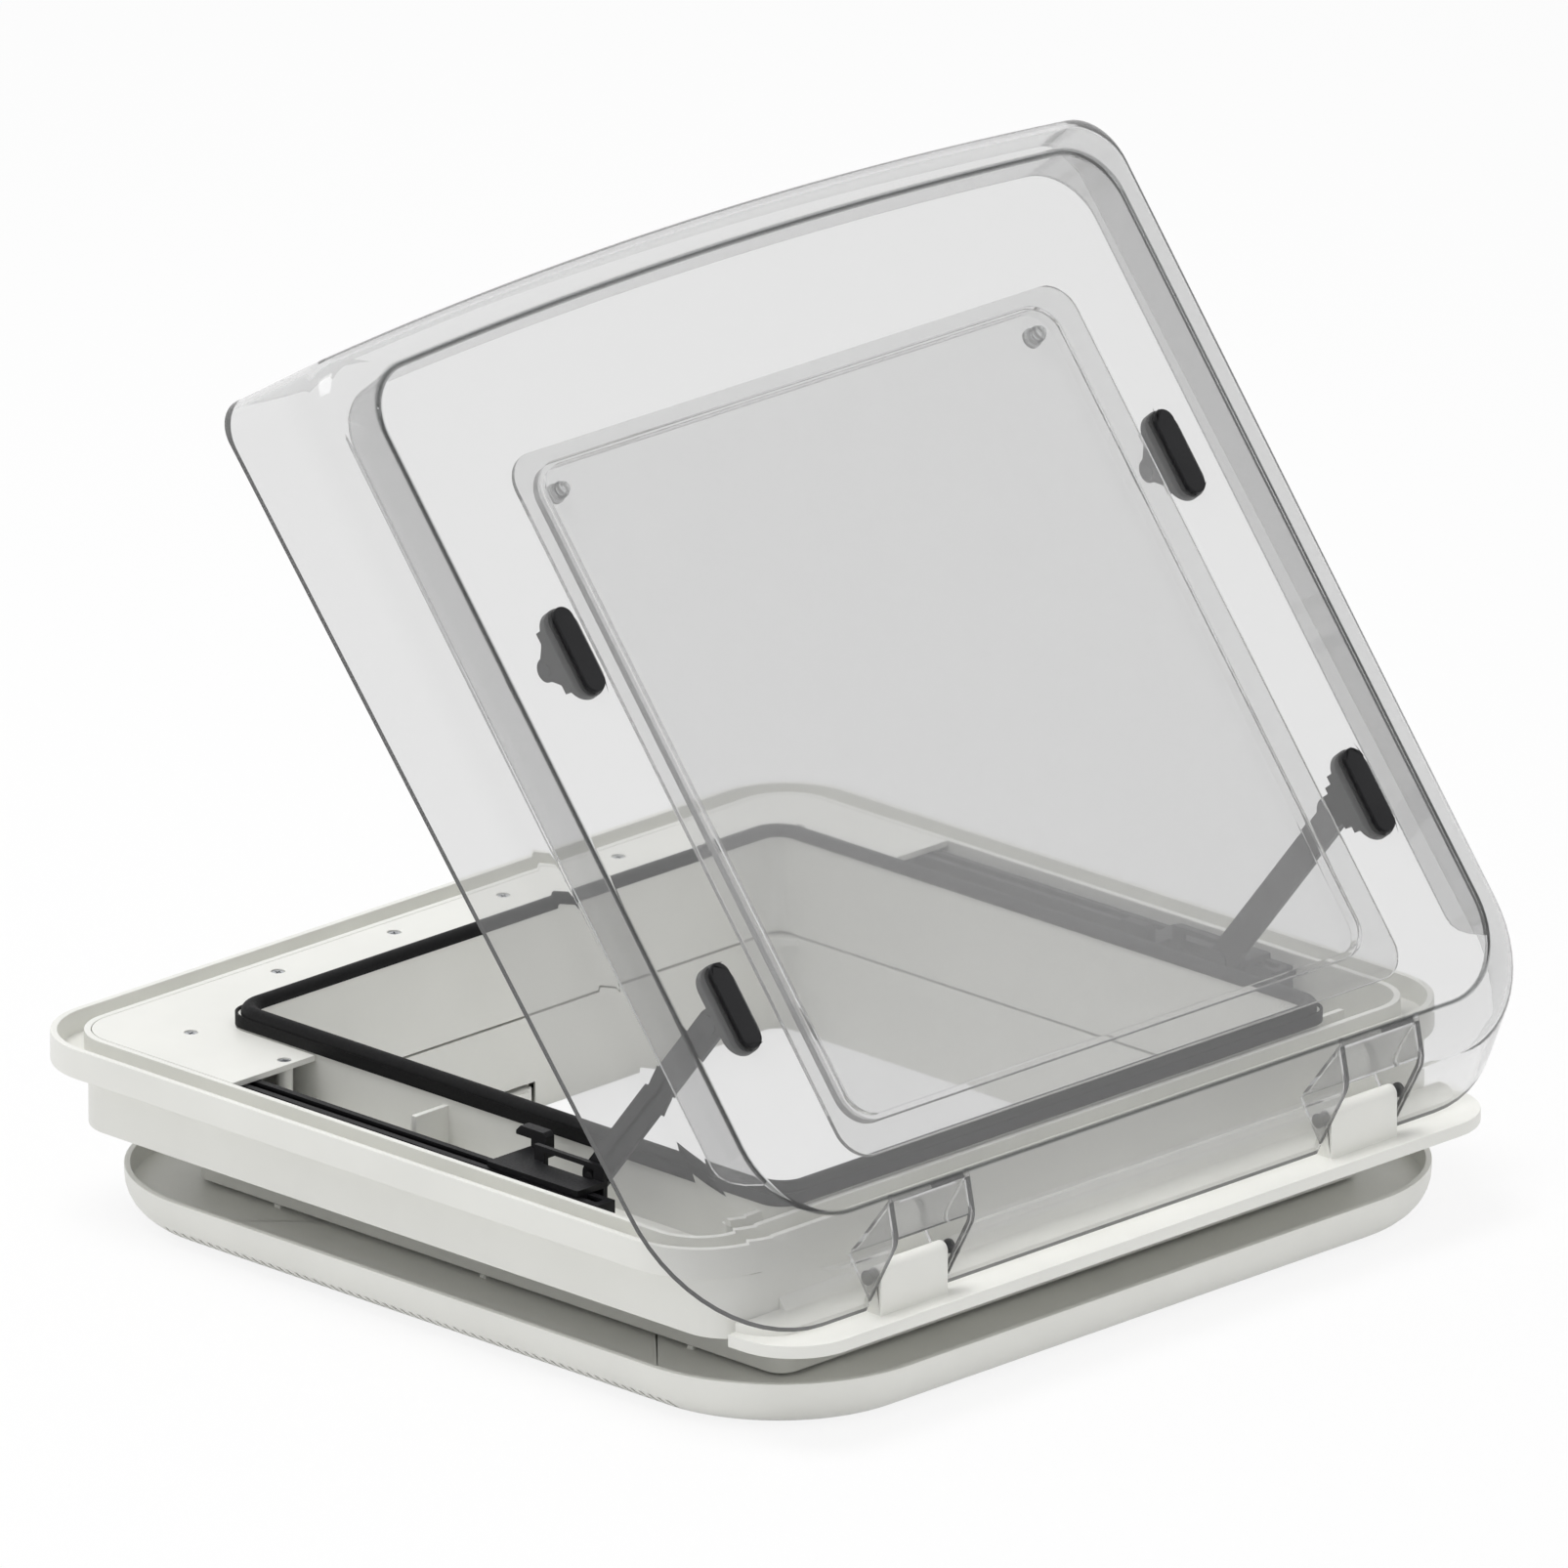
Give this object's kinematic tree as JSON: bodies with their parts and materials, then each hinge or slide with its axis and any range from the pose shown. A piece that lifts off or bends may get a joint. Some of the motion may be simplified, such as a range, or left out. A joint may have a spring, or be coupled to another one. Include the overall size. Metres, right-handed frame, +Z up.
{
  "type": "caravan roof vent",
  "caption": "Caravan roof vent: moulded frame round a square roof opening, clear hinged dome propped on sliding arms, and an interior trim ring with a turning knob.",
  "frame": {"origin": "centre of the square roof cut-out, on the outer face of the roof", "axes": "+X along the hinge axis, +Y from the hinge to the free edge of the dome, +Z up and out of the roof"},
  "size_m": [0.572, 0.5077, 0.4819],
  "materials": {
    "white_plastic": "satin",
    "black_plastic": "satin",
    "clear_acrylic": "polished",
    "seal_rubber": "matt",
    "steel": "satin"
  },
  "bodies": {
    "frame": {"outer_frame": "white_plastic", "hinge_rail": "white_plastic", "bulb_seal": "seal_rubber", "cover_plate": "white_plastic", "cover_screws": "steel", "guide_rail_left": "black_plastic", "guide_rail_right": "black_plastic", "corner_gearbox_left": "black_plastic", "corner_gearbox_right": "black_plastic", "knob_gearbox": "black_plastic", "trim_ring": "white_plastic", "trim_screws": "steel"},
    "lid": {"outer_dome": "clear_acrylic", "inner_pane": "clear_acrylic", "pane_plugs": "clear_acrylic", "bracket_screws": "steel", "hinge_pin_left": "steel", "arm_bracket_left": "black_plastic", "catch_bracket_left": "black_plastic", "arm_pad_left": "black_plastic", "catch_pad_left": "black_plastic", "arm_pin_left": "steel", "catch_pin_left": "steel", "hinge_pin_right": "steel", "arm_bracket_right": "black_plastic", "catch_bracket_right": "black_plastic", "arm_pad_right": "black_plastic", "catch_pad_right": "black_plastic", "arm_pin_right": "steel", "catch_pin_right": "steel"},
    "slide_left": {"slider_left": "black_plastic", "hook_left": "black_plastic"},
    "arm_left": {"arm_left": "black_plastic", "foot_pin_left": "steel"},
    "spindle_left": {"spindle_left": "steel"},
    "slide_right": {"slider_right": "black_plastic", "hook_right": "black_plastic"},
    "arm_right": {"arm_right": "black_plastic", "foot_pin_right": "steel"},
    "spindle_right": {"spindle_right": "steel"},
    "shaft": {"cross_shaft": "steel"},
    "knob": {"knob_shaft": "steel", "turning_knob": "white_plastic"}
  },
  "joints": [
    {"name": "lid_hinge", "type": "hinge", "parent": "frame", "child": "lid", "pos_m": [0, -0.236, 0.0276], "axis": [1, 0, 0], "range_deg": [-51.7, 0]},
    {"name": "slide_left", "type": "slide", "parent": "frame", "child": "slide_left", "axis": [0, 1, 0], "range_m": [0, 0.10716]},
    {"name": "slide_right", "type": "slide", "parent": "frame", "child": "slide_right", "axis": [0, 1, 0], "range_m": [0, 0.10716]},
    {"name": "arm_pivot_left", "type": "hinge", "parent": "lid", "child": "arm_left", "pos_m": [-0.2105, -0.16394, 0.14144], "axis": [1, 0, 0], "range_deg": [0, 105.5]},
    {"name": "arm_pivot_right", "type": "hinge", "parent": "lid", "child": "arm_right", "pos_m": [0.2105, -0.16394, 0.14144], "axis": [1, 0, 0], "range_deg": [0, 105.5]},
    {"name": "spindle_turn_left", "type": "hinge", "parent": "frame", "child": "spindle_left", "pos_m": [-0.228, 0, 0.033], "axis": [0, 1, 0], "range_deg": [0, 1441]},
    {"name": "spindle_turn_right", "type": "hinge", "parent": "frame", "child": "spindle_right", "pos_m": [0.228, 0, 0.033], "axis": [0, 1, 0], "range_deg": [-1441, 0]},
    {"name": "shaft_turn", "type": "hinge", "parent": "frame", "child": "shaft", "pos_m": [0, 0.204, 0.033], "axis": [1, 0, 0], "range_deg": [0, 1441]},
    {"name": "knob_turn", "type": "hinge", "parent": "frame", "child": "knob", "pos_m": [0, 0.1885, -0.036], "axis": [0, 0, 1], "range_deg": [0, 1441]}
  ],
  "couplings": [
    {"joint": "slide_left", "follows": "lid_hinge", "m_per_rad": -0.11865},
    {"joint": "slide_right", "follows": "lid_hinge", "m_per_rad": -0.11865},
    {"joint": "arm_pivot_left", "follows": "lid_hinge", "ratio": -2.0397},
    {"joint": "arm_pivot_right", "follows": "lid_hinge", "ratio": -2.0397},
    {"joint": "spindle_turn_left", "follows": "lid_hinge", "ratio": -27.853},
    {"joint": "spindle_turn_right", "follows": "lid_hinge", "ratio": 27.853},
    {"joint": "shaft_turn", "follows": "lid_hinge", "ratio": -27.853},
    {"joint": "knob_turn", "follows": "lid_hinge", "ratio": -27.853}
  ]
}
